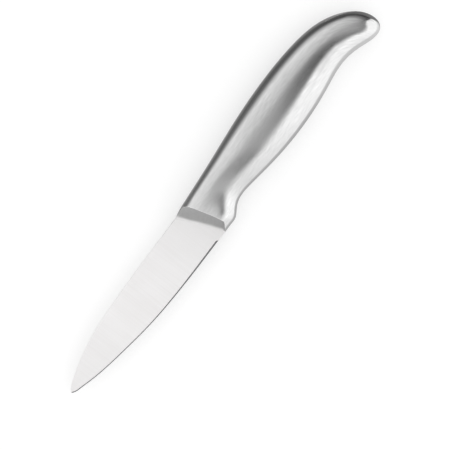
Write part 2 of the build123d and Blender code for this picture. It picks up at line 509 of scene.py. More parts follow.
    def share_behind(self, distance: float, turn: Array, inset: float = 0.0, base: float = 0.0) -> Array:
        """Shares at which the surface crosses a slanted plane behind the crest.

        Args:
            distance: Of the plane behind the crest.
            turn: Places round the section.
            inset: How far the form is drawn in.
            base: Height at which the half section starts.

        Returns:
            One share for each turn, by stepping towards the plane five times.
        """
        share = np.full(turn.shape, distance / self.spine_line.length)
        for _ in range(5):
            missing = distance - self.behind_crest(self.surface(share, turn, inset, base))
            share = share + missing / self.spine_line.length
        return share


@dataclass(frozen=True)
class BladeForm:
    """Form of the ground blade, in millimetres.

    Fields:
        reach: Tip to heel.
        spine_rise, edge_drop: Tip line to the spine and to the heel.
        ramp_start: Tip to the ramp's foot, at the spine.
        spine_thickness, heel_thickness, tip_thickness: Of the tapered blank.
        bevel_width: Ground bevel at the heel.
        widest_bevel: Most of a section's depth that it covers, as a share.
        tip_bevel: How much steeper the bevel is at the tip, as a share.
        edge_land: Thickness left at the very edge.
        plain_length: Edge left unground in front of the heel.
        run_out: Length over which the bevel fades there.
        unground_rise: How much steeper it is once it has faded.
        spine_round: Radius of the eased corners of the spine.
        widest_round: Most of a section's depth that one covers, as a share.
        root_thinning: The root is this much thinner on each face.
        shoulder_set: The full height runs this far under the ramp.
        tang_height, tang_reach, tang_middle: Of the tang behind the heel.
        tip_heading: Angle at which the spine leaves the tip, and the edge on the other side.
        round_columns, flank_columns: Points over a corner, and over the flank.
        flank_span: Shares of the flank's width between which its points stand.
        bevel_columns: Points over the bevel, as shares of its width.
        spine_shares: Points of the spine, as shares of the reach and of the rise.
        edge_shares: Points of the edge, as shares of the reach and of the drop.
    """

    reach: float = 92.2
    spine_rise: float = 9.3516
    edge_drop: float = 10.4964
    ramp_start: float = 84.1
    spine_thickness: float = 1.5
    heel_thickness: float = 0.5
    tip_thickness: float = 0.65
    bevel_width: float = 0.72
    widest_bevel: float = 0.45
    tip_bevel: float = 1.3
    edge_land: float = 0.06
    plain_length: float = 4.3
    run_out: float = 0.5
    unground_rise: float = 9.0
    spine_round: float = 0.22
    widest_round: float = 0.3
    root_thinning: float = 0.05
    shoulder_set: float = 2.4
    tang_height: float = 9.0
    tang_reach: float = 25.0
    tang_middle: float = -0.0924
    tip_heading: float = 55.0
    round_columns: int = 5
    flank_columns: int = 18
    flank_span: tuple[float, float] = (0.04, 0.995)
    bevel_columns: tuple[float, ...] = (0.0, 0.06, 0.35, 0.65, 1.0)
    spine_shares: tuple[tuple[float, float], ...] = (
        (0, 0), (0.045, 0.28), (0.1, 0.457), (0.21, 0.72), (0.32, 0.865), (0.45, 0.94), (0.64, 0.99),
    )
    edge_shares: tuple[tuple[float, float], ...] = (
        (0, 0), (0.045, 0.2), (0.1, 0.335), (0.21, 0.545), (0.32, 0.7), (0.45, 0.855), (0.62, 0.96),
    )

    def lines(self) -> tuple[PacedLine, PacedLine]:
        """Draws the blade's outline through its shares.

        Returns:
            The spine and the sharpened edge, both from the tip.
        """
        spine = [(along * self.reach, rise * self.spine_rise) for along, rise in self.spine_shares]
        edge = [(along * self.reach, -drop * self.edge_drop) for along, drop in self.edge_shares]
        spine.append((self.ramp_start, self.spine_rise))
        edge.append((self.reach - self.plain_length, -self.edge_drop))
        spine_line = PacedLine(spine, heading(self.tip_heading), heading(0))
        return spine_line, PacedLine(edge, heading(-self.tip_heading), heading(0))

    def half_thickness(self, plan: Array) -> Array:
        """Half the thickness of the blank: a plane that falls towards the edge and the tip.

        Args:
            plan: Points of the mid plane.

        Returns:
            One half thickness for each point.
        """
        fall = (self.spine_thickness - self.heel_thickness) / (self.spine_rise + self.edge_drop)
        gain = (self.heel_thickness + fall * self.edge_drop - self.tip_thickness) / self.reach
        return (self.tip_thickness + gain * plan[..., 0] + fall * plan[..., 1]) / 2

    def rungs(self, share: Array) -> tuple[Array, Array, Array]:
        """Sections of the blade from the tip to the ramp's foot.

        Both ends move by equal shares of their own line, and the edge line runs straight on to the heel.

        Args:
            share: Shares of the way, in increasing order.

        Returns:
            The spine ends, the edge ends, and how much of the bevel is ground there, from 0 to 1.
        """
        spine_line, edge_line = self.lines()
        edge = edge_line.at(share * (1 + self.plain_length / edge_line.length))
        ground = 1 - ease((edge[..., 0] - (self.reach - self.plain_length - self.run_out)) / self.run_out)
        return spine_line.at(share), edge, ground

    def half_loops(self, spine: Array, edge: Array, ground: Array, thinning: Array) -> tuple[Array, int]:
        """Half loops over the left flank, from the middle of the spine to the middle of the edge.

        The height is the lower of the tapered flank and the bevel, which rises from the edge's land by its
        steepness times the distance from the edge. The spine's corner is a quarter circle.

        Args:
            spine: Spine ends of the sections.
            edge: Their edge ends.
            ground: How much of the bevel is ground at each.
            thinning: How much thinner each section is on its face.

        Returns:
            The half loops, and the number of the column where the bevel starts.
        """
        depth = np.linalg.norm(edge - spine, axis=1)
        down = (edge - spine) / np.maximum(depth, TINY)[:, None]
        travel = np.gradient(edge, axis=0)
        travel /= np.maximum(np.linalg.norm(travel, axis=1), TINY)[:, None]
        square = np.abs(down[:, 0] * travel[:, 1] - down[:, 1] * travel[:, 0])
        steep = (self.heel_thickness - self.edge_land) / 2 / self.bevel_width * square
        steep = steep * (1 + self.tip_bevel * np.clip(1 - edge[:, 0] / self.reach, 0, 1) ** 2)
        steep = steep + self.unground_rise * (1 - ground)
        at_edge = self.half_thickness(edge) - thinning
        rise = (self.half_thickness(spine) - thinning - at_edge) / np.maximum(depth, TINY)
        width = np.minimum((at_edge - self.edge_land / 2) / (steep - rise), self.widest_bevel * depth)
        corner = np.minimum(self.spine_round, self.widest_round * depth)[:, None]

        arc = np.linspace(0, math.pi / 2, self.round_columns)
        flank = np.linspace(*self.flank_span, self.flank_columns)
        depth, width = depth[:, None], width[:, None]
        places = np.concatenate(
            [
                corner * 0,
                corner * (1 - np.cos(arc)),
                corner + (depth - corner - width) * flank,
                depth - width + width * np.array(self.bevel_columns),
                depth,
            ],
            axis=1,
        )
        plan = spine[:, None] + down[:, None] * places[..., None]
        face = self.half_thickness(plan) - thinning[:, None]
        face[:, 1 : 1 + len(arc)] -= corner * (1 - np.sin(arc))
        wedge = self.edge_land / 2 + steep[:, None] * (depth - places)
        height = np.maximum(np.minimum(face, wedge), 0)
        height[:, 0] = height[:, -1] = 0
        return in_space(plan, height), 1 + len(arc) + len(flank)


# Finishes

# Values of the noise between which a line or a cloud comes in, and how finely each is broken up
LINE_RANGE = (0.3, 0.7)
CLOUD_RANGE = (0.35, 0.7)
LINE_NOISE = {"Scale": 1.0, "Detail": 2.5, "Roughness": 0.6}
CLOUD_DETAIL = 3.0


def linear(code: str) -> tuple[float, float, float, float]:
    """Turns an sRGB hex colour to linear light.

    Args:
        code: Such as "#C0C0C0".

    Returns:
        Red, green and blue from 0 to 1, and an alpha of 1.
    """
    parts = [int(code[i : i + 2], 16) / 255 for i in (1, 3, 5)]
    red, green, blue = [p / 12.92 if p <= 0.04045 else ((p + 0.055) / 1.055) ** 2.4 for p in parts]
    return red, green, blue, 1.0


def emptied(holder: Material | bpy.types.World) -> Tree:
    """Readies a new material or world for its own nodes.

    Args:
        holder: The material or the world.

    Returns:
        Its node tree, with nothing in it.
    """
    holder.use_nodes = True
    holder.node_tree.nodes.clear()
    return holder.node_tree


def add_node(
    tree: Tree,
    kind: str,
    settings: dict[str, object],
    inputs: dict[str | int, object] | None = None,
) -> Node:
    """Adds a node with its settings, values and links.

    Args:
        tree: The material's or the world's nodes.
        kind: Blender's name for the kind of node.
        settings: Attributes to set.
        inputs: A value, an output socket, or a node for its first output, by the input's name or number.

    Returns:
        The new node.
    """
    node = tree.nodes.new(kind)
    for name, value in settings.items():
        setattr(node, name, value)
    for name, value in (inputs or {}).items():
        source = value.outputs[0] if isinstance(value, Node) else value
        if isinstance(source, Socket):
            tree.links.new(source, node.inputs[name])
        else:
            node.inputs[name].default_value = source
    return node


class Places(Enum):
    """Where a pattern takes its places from, in metres. The value is the kind of node and its output."""

    BRUSHING = ("ShaderNodeUVMap", "UV")
    OBJECT = ("ShaderNodeTexCoord", "Object")

    def socket(self, tree: Tree) -> Socket:
        """Adds the node to a material, and gives the socket with the places."""
        kind, output = self.value
        return add_node(tree, kind, {"uv_map": "brushing"} if self is Places.BRUSHING else {}).outputs[output]


@dataclass(frozen=True)
class SteelFinish:
    """A finish on stainless steel, made of fine lines or grains and of slow clouds from handling.

    Fields:
        name: The steel and how its surface was made.
        colour: Where the surface is clean.
        shade: In its lines and clouds.
        roughness: In the middle of its range.
        spread: Half the range of the roughness.
        places: Where the lines take their places from.
        line: Size of a line or grain along the three axes of its places, in millimetres.
        relief: Height of the lines, in millimetres.
        line_share: How much of the shade the lines carry.
        cloud: Size of the clouds, in millimetres.
        cloud_share: How much of the shade the clouds carry.
        foot_sheen_colour: Painted sheen at the patch's first row, if any: pale, for a flat foot's reflection.
        foot_fade: Where that colour starts to fade behind the row, and where it ends, in millimetres.
        foot_sway: How far the clouds move that line, in millimetres.
    """

    name: str
    colour: str
    shade: str
    roughness: float
    spread: float
    places: Places
    line: tuple[float, float, float]
    relief: float
    line_share: float
    cloud: float
    cloud_share: float
    foot_sheen_colour: str = ""
    foot_fade: tuple[float, float] = (0.0, 0.0)
    foot_sway: float = 1.0

    def fade_in(self, tree: Tree, colour: Socket, clouds: Node) -> Socket:
        """Blends the foot's painted sheen into the finish, along a line that the clouds make a little uneven.

        Args:
            tree: The material's nodes.
            colour: The finish's own colour.
            clouds: Noise of the clouds, whose mean is a half.

        Returns:
            Both colours.
        """
        along = add_node(tree, "ShaderNodeSeparateXYZ", {}, {0: Places.BRUSHING.socket(tree)})
        swayed = {0: clouds, 1: self.foot_sway * MM, 2: along}
        place = add_node(tree, "ShaderNodeMath", {"operation": "MULTIPLY_ADD"}, swayed)
        first, last = ((end + self.foot_sway / 2) * MM for end in self.foot_fade)
        fading = {0: place, 1: first, 2: last, 3: 0.0, 4: 1.0}
        own = add_node(tree, "ShaderNodeMapRange", {"interpolation_type": "SMOOTHSTEP"}, fading)
        pair = {0: own, 6: linear(self.foot_sheen_colour), 7: colour}
        return add_node(tree, "ShaderNodeMix", {"data_type": "RGBA"}, pair).outputs[2]

    def material(self) -> Material:
        """Builds the material.

        Returns:
            A metal whose colour, roughness and relief follow the lines and the clouds.
        """
        made = bpy.data.materials.new(self.name)
        tree = emptied(made)
        scale = tuple(1 / (size * MM) for size in self.line)
        spot = add_node(tree, "ShaderNodeMapping", {}, {"Vector": self.places.socket(tree), "Scale": scale})
        lines = add_node(tree, "ShaderNodeTexNoise", {}, {"Vector": spot, **LINE_NOISE})
        slow = {"Vector": Places.OBJECT.socket(tree), "Scale": 1 / (self.cloud * MM), "Detail": CLOUD_DETAIL}
        clouds = add_node(tree, "ShaderNodeTexNoise", {}, slow)
        line_part, cloud_part, rough = (
            add_node(tree, "ShaderNodeMapRange", {}, {0: noise, 1: low, 2: high, 3: first, 4: last})
            for noise, (low, high), first, last in (
                (lines, LINE_RANGE, 0.0, self.line_share),
                (clouds, CLOUD_RANGE, 0.0, self.cloud_share),
                (lines, LINE_RANGE, self.roughness - self.spread, self.roughness + self.spread),
            )
        )
        summing = {"operation": "ADD", "use_clamp": True}
        both = add_node(tree, "ShaderNodeMath", summing, {0: line_part, 1: cloud_part})
        pair = {0: both, 6: linear(self.colour), 7: linear(self.shade)}
        colour = add_node(tree, "ShaderNodeMix", {"data_type": "RGBA"}, pair).outputs[2]
        # The foot's painted sheen, where the finish has one
        if self.foot_sheen_colour:
            colour = self.fade_in(tree, colour, clouds)
        height = {"Height": lines, "Strength": 1.0, "Distance": self.relief * MM}
        relief = add_node(tree, "ShaderNodeBump", {}, height)
        metal = {"Base Color": colour, "Metallic": 1.0, "Roughness": rough, "Normal": relief}
        steel = add_node(tree, "ShaderNodeBsdfPrincipled", {}, metal)
        add_node(tree, "ShaderNodeOutputMaterial", {}, {"Surface": steel})
        return made


# Hardened stainless steel, ground across from spine to edge and satined: pale, with a soft broad gloss
# The real lines are about 0.1 mm wide, and these are 0.5 mm, the finest that show
GROUND_BLADE = SteelFinish(
    name="hardened_stainless_cross_ground",
    colour="#F9F8F8",
    shade="#E8E5E4",
    roughness=0.46,
    spread=0.04,
    places=Places.OBJECT,
    line=(0.5, 26.0, 26.0),
    relief=0.002,
    line_share=0.17,
    cloud=21.0,
    cloud_share=0.2,
)

# The same steel on the whetted bevel, with its whetting marks. Its dark colour and shade are painted shade:
# they stand in for the darker surroundings that the tilted bevel mirrors
# The marks are about 0.15 mm wide, and are drawn as 0.55 mm so that they show
WHETTED_BEVEL_PAINTED_SHADE = SteelFinish(
    name="hardened_stainless_whetted_painted_shade",
    colour="#8E8E8F",
    shade="#5C5C5E",
    roughness=0.38,
    spread=0.07,
    places=Places.OBJECT,
    line=(0.55, 4.0, 4.0),
    relief=0.006,
    line_share=0.6,
    cloud=14.0,
    cloud_share=0.2,
)

# Forged stainless steel blasted with fine beads: an even matt grey, partly its own tone and partly painted
# shade for the ramp, which slopes towards the tip and faces the dimmer side there. Its pale foot is a painted
# sheen
# Beads leave pits of about 0.1 mm, drawn as 0.5 mm so that they show
BLASTED_BOLSTER_PAINTED_SHADE_AND_SHEEN = SteelFinish(
    name="forged_stainless_bead_blasted",
    # Grey colour and shade: partly the blasting's tone, partly painted shade of the sloping ramp
    colour="#BFBFBF",
    shade="#AFAFAF",
    roughness=0.62,
    spread=0.05,
    places=Places.OBJECT,
    line=(0.5, 0.5, 0.5),
    relief=0.012,
    line_share=0.5,
    cloud=6.0,
    cloud_share=0.25,
    # Painted sheen at the ramp's foot, close to the blade's colour
    foot_sheen_colour="#F6F5F5",
    foot_fade=(0.1, 2.3),
)

# Pressed stainless sheet, belt-brushed along the handle and lightly buffed: it mirrors broad shapes, softly
# The belt's lines are about 0.1 mm wide, and are drawn as 0.4 mm so that they show
BRUSHED_HANDLE = SteelFinish(
    name="pressed_stainless_belt_brushed",
    colour="#F8F8F8",
    shade="#D0D0D0",
    roughness=0.17,
    spread=0.04,
    places=Places.BRUSHING,
    line=(4.0, 0.4, 1.0),
    relief=0.0012,
    line_share=0.4,
    cloud=17.0,
    cloud_share=0.15,
)

# Weld metal dressed flush and brushed with the sheet: the same lines and gloss, and a trace greyer
DRESSED_WELD = replace(
    BRUSHED_HANDLE,
    name="stainless_weld_dressed_flush",
    colour="#F7F7F7",
    shade="#CFCFCF",
)

# Weld metal left as it froze inside the handle: rippled, and straw tinted by the heat
RAW_WELD = SteelFinish(
    name="stainless_weld_heat_tinted",
    colour="#B9AE97",
    shade="#7D7B86",
    roughness=0.42,
    spread=0.08,
    places=Places.OBJECT,
    line=(0.7, 0.7, 0.7),
    relief=0.02,
    line_share=0.5,
    cloud=2.0,
    cloud_share=0.5,
)


# Sub-assemblies


class SubAssembly:
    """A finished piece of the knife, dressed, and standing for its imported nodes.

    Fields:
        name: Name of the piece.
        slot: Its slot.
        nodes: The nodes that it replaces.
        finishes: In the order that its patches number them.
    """

    name: str
    slot: str
    nodes: tuple[str, ...]
    finishes: tuple[SteelFinish, ...]

    def patches(self) -> list[Patch]:
        """Grids of the whole surface, which meet at their borders."""
        raise NotImplementedError

    def build(self, origin: Array) -> Object:
        """Makes the piece, gives it its finishes and its body, and hides the nodes that it replaces.

        Args:
            origin: The row's origin in the drawing.

        Returns:
            The piece.
        """
        materials = [finish.material() for finish in self.finishes]
        piece = make_piece(self.name, self.patches(), materials, origin)
        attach(piece, "root")
        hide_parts(*self.nodes)
        return piece


@dataclass
class Blade(SubAssembly):
    """Ground blade with its thinner root and tang, satined on its flanks and whetted on its bevels.

    Fields:
        form: Sizes of the blade.
        rows: Sections from the tip to the ramp's foot.
        row_power: How strongly they crowd towards the tip.
    """

    name = "ground_blade"
    slot = "blade_steel"
    nodes = ("blade",)
    # The bevels' finish has painted shade in its colour
    finishes = (GROUND_BLADE, WHETTED_BEVEL_PAINTED_SHADE)

    form: BladeForm
    rows: int = 260
    row_power: float = 1.4

    def sections(self) -> tuple[Array, int]:
        """Half loops of the blade, the root and the tang, closed at both ends.

        Returns:
            The half loops, and the number of the column where the bevel starts.
        """
        form = self.form
        spine, edge, ground = form.rungs(np.linspace(0, 1, self.rows) ** self.row_power)
        set_back = np.array([form.shoulder_set, 0.0])
        middle = np.array([0.0, form.tang_middle])
        half = np.array([0.0, form.tang_height / 2])
        shoulder = np.array([form.reach, 0.0])
        end = np.array([form.reach + form.tang_reach, 0.0])
        tang = [shoulder + middle, end + middle, end + middle]
        spine = np.vstack([spine, spine[-1], spine[-1] + set_back] + [place + half for place in tang])
        edge = np.vstack([edge, edge[-1], edge[-1] + set_back] + [place - half for place in tang])
        inside = np.arange(len(spine)) >= self.rows
        ground = np.append(ground, np.zeros(inside.sum()))
        loops, bevel = form.half_loops(spine, edge, ground, form.root_thinning * inside)
        loops[0, :, 2] = loops[-1, :, 2] = 0
        return loops, bevel

    def patches(self) -> list[Patch]:
        """Surface of the blade, brushed from the spine to the edge.

        Returns:
            The flank and the bevel of either side.
        """
        loops, bevel = self.sections()
        grids = []
        for side in (loops, mirrored(loops)):
            grids += [side[:, : bevel + 1], side[:, bevel:]]
        return [Patch(grid, finish, along_rows=False) for grid, finish in zip(grids, (0, 1, 0, 1))]


@dataclass
class Bolster(SubAssembly):
    """Forged bolster: blasted ramp, brushed land, spigot, and the slot that holds the blade's root and tang.

    Fields:
        form: Form of the handle, which the land continues.
        blade: Form of the blade, which the slot follows.
        lip: Height of the ramp's foot above the blade.
        slot_lip: Clearance of the slot round the blade there.
        foot_squareness: Of the ramp's foot, flat round the blade.
        slot_squareness: Of the slot round the tang.
        slot_reach: How far that slot runs behind the heel.
        hollow: Reach of the soft hollow at the foot, as a share of the ramp.
        crest_round: Width of the rounding along the crest, in millimetres.
        land: Crest to the weld.
        ring: Width of that weld.
        spigot: Length behind the weld.
        spigot_fit: Clearance between spigot and shell.
        columns, corner_turns: Points over one flank, and more of them at the crest's lower corner.
        ramp_rows: Stretches of the ramp, as shares of its climb, and their numbers of rows.
        crest_rows, land_rows: Rows over the crest's rounding and over the land.
        crest_turns, crest_setbacks: How far the crest stands behind its straight line, round the section.
            Near the belly it runs forward to the heel, where the land is cut off by the ramp.
    """

    name = "forged_bolster"
    slot = "bolster_steel"
    nodes = ("bolster",)
    # The ramp's finish carries painted shade, and a painted sheen at its foot
    finishes = (BLASTED_BOLSTER_PAINTED_SHADE_AND_SHEEN, BRUSHED_HANDLE)

    form: HandleForm
    blade: BladeForm
    lip: float = 0.12
    slot_lip: float = 0.03
    foot_squareness: float = 8.0
    slot_squareness: float = 20.0
    slot_reach: float = 6.4
    hollow: float = 0.2
    crest_round: float = 0.12
    land: float = 5.6
    ring: float = 1.0
    spigot: float = 5.0
    spigot_fit: float = 0.1
    columns: int = 101
    corner_turns: tuple[float, ...] = (0.69, 0.695, 0.7)
    ramp_rows: tuple[tuple[float, float, int], ...] = ((0, 0.3, 12), (0.34, 1, 16))
    crest_rows: int = 7
    land_rows: int = 30
    crest_turns: tuple[float, ...] = (
        0, 0.12, 0.16, 0.2, 0.25, 0.32, 0.41, 0.505, 0.64, 0.695, 0.737, 0.783, 0.844, 0.911, 1,
    )
    crest_setbacks: tuple[float, ...] = (
        0, -0.05, 0.05, 0.22, 0.66, 0.9, 0.96, 0.75, 0.14, -0.08, -0.98, -1.98, -2.97, -3.68, -3.84,
    )

    def turns(self) -> Array:
        """Places round a half section, crowded at the spine, the belly and the crest's lower corner."""
        return np.sort(np.concatenate([crowded(self.columns), self.corner_turns]))

    def boxed(self, spine: Array, belly: Array, half: float, squareness: float) -> Array:
        """Half loop of a box with round corners between two ends.

        Args:
            spine, belly: Its ends in the mid plane.
            half: Half its thickness.
            squareness: 2 for an ellipse, and more for a box.

        Returns:
            The half loop.
        """
        across, rise = superellipse(self.turns() * math.pi, squareness)
        return in_space((spine + belly) / 2 + (spine - belly) / 2 * across[:, None], half * rise)

    def foot(self, lip: float) -> Array:
        """Half loop of the ramp's foot.

        Args:
            lip: How far it stands above the blade.

        Returns:
            A squared loop whose height follows the blade's.
        """
        spine = np.array([self.blade.ramp_start, self.blade.spine_rise + lip])
        belly = np.array([self.blade.reach, -self.blade.edge_drop])
        flat = self.boxed(spine, belly, 1.0, self.foot_squareness)
        flat[:, 2] *= self.blade.half_thickness(flat[:, :2]) + lip
        return flat

    def ramp(self, crest: Array) -> Array:
        """Rows of the ramp, from its foot to the crest.

        In plan each point goes straight from the foot to the crest. Its height climbs along a hyperbola,
        which is flat at the foot and nearly straight after the hollow.

        Args:
            crest: Half loop of the crest.

        Returns:
            The rows.
        """
        foot = self.foot(self.lip)
        place = np.concatenate([np.linspace(*stretch) for stretch in self.ramp_rows])[:, None]
        climb = (np.hypot(place, self.hollow) - self.hollow) / (math.hypot(1, self.hollow) - self.hollow)
        plan = foot[None, :, :2] * (1 - place[..., None]) + crest[None, :, :2] * place[..., None]
        return in_space(plan, foot[None, :, 2] + (crest[None, :, 2] - foot[None, :, 2]) * climb)

    def outer_rows(self) -> tuple[Array, Array]:
        """The ramp up to the crest's rounding, and the land from there to the weld.

        Returns:
            Both as rows of half loops that meet in the middle of the rounding, which is a curve between the
            ramp and the land that the crest's corner pulls outwards.
        """
        turns = self.turns()
        setbacks = np.interp(turns, self.crest_turns, self.crest_setbacks)
        start = setbacks / self.form.spine_line.length
        crest = self.form.surface(start, turns)
        ramp = self.ramp(crest)
        behind = start + self.crest_round / self.form.spine_line.length
        last_step = ramp[-2] - crest
        length = np.maximum(np.linalg.norm(last_step, axis=1), TINY)
        leave = crest + last_step * np.minimum(1, self.crest_round / length)[:, None]
        arrive = self.form.surface(behind, turns)
        bend = np.linspace(0, 1, self.crest_rows)[:, None, None]
        corner = leave * (1 - bend) ** 2 + crest * 2 * bend * (1 - bend) + arrive * bend**2
        end = self.form.share_behind(self.land, turns)
        way = np.linspace(0, 1, self.land_rows)[1:, None]
        land = self.form.surface(behind + (end - behind) * way, turns)
        middle = self.crest_rows // 2
        return np.concatenate([ramp[:-1], corner[: middle + 1]]), np.concatenate([corner[middle:], land])

    def inner_rows(self, land_end: Array) -> Array:
        """Rows of the spigot and back through the slot to the ramp's foot.

        Args:
            land_end: Last half loop of the land.

        Returns:
            The rows, from the land's end to the foot.
        """
        form, blade, turns = self.form, self.blade, self.turns()
        inset = form.wall + self.spigot_fit
        rows = [land_end]
        for distance in (self.land, self.land + self.ring + self.spigot):
            rows.append(form.surface(form.share_behind(distance, turns, inset), turns, inset))
        half = np.array([0.0, blade.tang_height / 2])
        for behind in (self.slot_reach, blade.shoulder_set):
            middle = np.array([blade.reach + behind, blade.tang_middle])
            thickness = float(blade.half_thickness(middle))
            rows.append(self.boxed(middle + half, middle - half, thickness, self.slot_squareness))
        slot = self.foot(self.slot_lip)
        rows += [slot + np.array([blade.shoulder_set, 0, 0]), slot, self.foot(self.lip)]
        return np.stack(rows)

    def patches(self) -> list[Patch]:
        """Surface of the bolster.

        Returns:
            The ramp, the land, and the inside.
        """
        ramp, land = self.outer_rows()
        rows = (ramp, land, self.inner_rows(land[-1]))
        return [Patch(both_flanks(half), finish) for half, finish in zip(rows, (0, 1, 0))]


@dataclass
class HandleShell(SubAssembly):
    """One pressed half of the hollow handle, as a closed skin of its wall.

    Fields:
        form: Form of the handle.
        flank: The side that it covers.
        front: Distance of its front rim behind the crest.
        seam: Width of the weld between the two halves.
        closing_gap: It ends where half its thickness is within this of half the seam.
        least_depth: It ends at the latest where it is this many insets deep.
        tail_shares: Shares of the spine line that its end is looked for at: first, last and how many.
        rows, columns: Points along and across the shell.
        row_shifts: How far the rows move to the tail, by a squared and by a plain sine wave.
    """

    slot = "handle_steel"
    finishes = (BRUSHED_HANDLE,)

    form: HandleForm
    flank: Flank
    front: float = 6.6
    seam: float = 1.0
    closing_gap: float = 0.002
    least_depth: float = 2.6
    tail_shares: tuple[float, float, int] = (0.9, 1.0, 2001)
    rows: int = 230
    columns: int = 85
    row_shifts: tuple[float, float] = (0.12, 0.08)

    @property
    def name(self) -> str:
        """Name of the shell on its flank."""
        return f"pressed_shell_{self.flank.name.lower()}"

    @property
    def nodes(self) -> tuple[str, ...]:
        """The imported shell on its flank."""
        return (f"handle_shell_{self.flank.name.lower()}",)

    def last_share(self, inset: float) -> float:
        """Share of the spine line where the drawn-in form closes.

        Args:
            inset: How far the form is drawn in.

        Returns:
            The first share of the tail where either limit is met.
        """
        share = np.linspace(*self.tail_shares)
        spine, belly = self.form.rung(share)
        closed = self.form.half_thickness(share, inset) < self.seam / 2 + self.closing_gap
        tight = np.linalg.norm(spine - belly, axis=1) < self.least_depth * inset
        return float(share[np.argmax(closed | tight)])

    def face(self, inset: float) -> Array:
        """Grid of the shell's outer or inner face.

        Args:
            inset: 0 for the outer face, or the wall for the inner one.

        Returns:
            Rows of half loops, closer together towards the tail.
        """
        base = self.seam / 2
        turns = crowded(self.columns)
        first = self.form.share_behind(self.front, turns, inset, base)
        way = np.linspace(0, 1, self.rows)[:, None]
        wave = np.sin(math.pi * way)
        way = np.clip(way + self.row_shifts[0] * wave**2 + self.row_shifts[1] * wave, 0, 1)
        return self.form.surface(first + (self.last_share(inset) - first) * way, turns, inset, base)

    def patches(self) -> list[Patch]:
        """Both faces and the rims, on the shell's own flank."""
        side = np.array([1.0, 1.0, self.flank.value])
        return thick_skin(self.face(0.0) * side, self.face(self.form.wall) * side)


@dataclass
class SeamWeld(SubAssembly):
    """Weld along the handle's spine, round its tail and back along its belly.

    Fields:
        form: Form of the handle.
        front: Distance of its ends behind the crest.
        width: Across the seam.
        crown: How far its middle stands proud.
        rows, columns: Points along each of its two sides, and across it.
    """

    name = "seam_weld_strip"
    slot = "handle_steel"
    nodes = ("seam_weld",)
    finishes = (DRESSED_WELD,)

    form: HandleForm
    front: float = 6.6
    width: float = 1.0
    crown: float = 0.03
    rows: int = 320
    columns: int = 7

    def path(self) -> Array:
        """Line that the weld follows.

        Returns:
            Points from the ring weld along the spine, round the tail and back along the belly.
        """
        ends = self.form.share_behind(self.front, np.array([0.0, 1.0]))
        spine, _ = self.form.rung(np.linspace(ends[0], 1, self.rows))
        _, belly = self.form.rung(np.linspace(1, ends[1], self.rows))
        return np.concatenate([spine, belly[1:]])

    def patches(self) -> list[Patch]:
        """A strip of the wall's thickness, drawn in square to the outline, with a parabola as its crown.

        Returns:
            Both faces and the rims.
        """
        path = self.path()
        travel = np.gradient(path, axis=0)
        travel /= np.linalg.norm(travel, axis=1)[:, None]
        inward = np.stack([travel[:, 1], -travel[:, 0]], axis=1)[:, None]
        across = np.linspace(-1, 1, self.columns)
        proud = self.crown * (1 - across**2)[:, None]
        sunk = np.full((self.columns, 1), self.form.wall)
        outer, inner = (
            in_space(path[:, None] + inward * depth, across * self.width / 2) for depth in (-proud, sunk)
        )
        return thick_skin(outer, inner)


@dataclass
class BolsterWeld(SubAssembly):
    """Ring weld of the wall's thickness between the bolster's land and the shells.

    Fields:
        form: Form of the handle.
        front, width: Distance behind the crest, and width.
        rows, columns: Points along the handle, and over one flank.
    """

    name = "ring_weld"
    slot = "handle_steel"
    nodes = ("bolster_weld",)
    finishes = (DRESSED_WELD,)

    form: HandleForm
    front: float = 5.6
    width: float = 1.0
    rows: int = 5
    columns: int = 101

    def face(self, inset: float) -> Array:
        """Loops between the weld's two slanted planes.

        Args:
            inset: 0 for the outer face, or the wall for the inner one.

        Returns:
            Rows of whole loops.
        """
        turns = crowded(self.columns)
        first = self.form.share_behind(self.front, turns, inset)
        last = self.form.share_behind(self.front + self.width, turns, inset)
        way = np.linspace(0, 1, self.rows)[:, None]
        return both_flanks(self.form.surface(first + (last - first) * way, turns, inset))

    def patches(self) -> list[Patch]:
        """Both faces and the two rims of the ring."""
        return thick_skin(self.face(0.0), self.face(self.form.wall), sides=False)


# Studio


class Hang(Enum):
    """How a card hangs by the knife. The value is the number of the axis that it is square to."""

    ACROSS = 0
    ALONG = 1
    LEVEL = 2


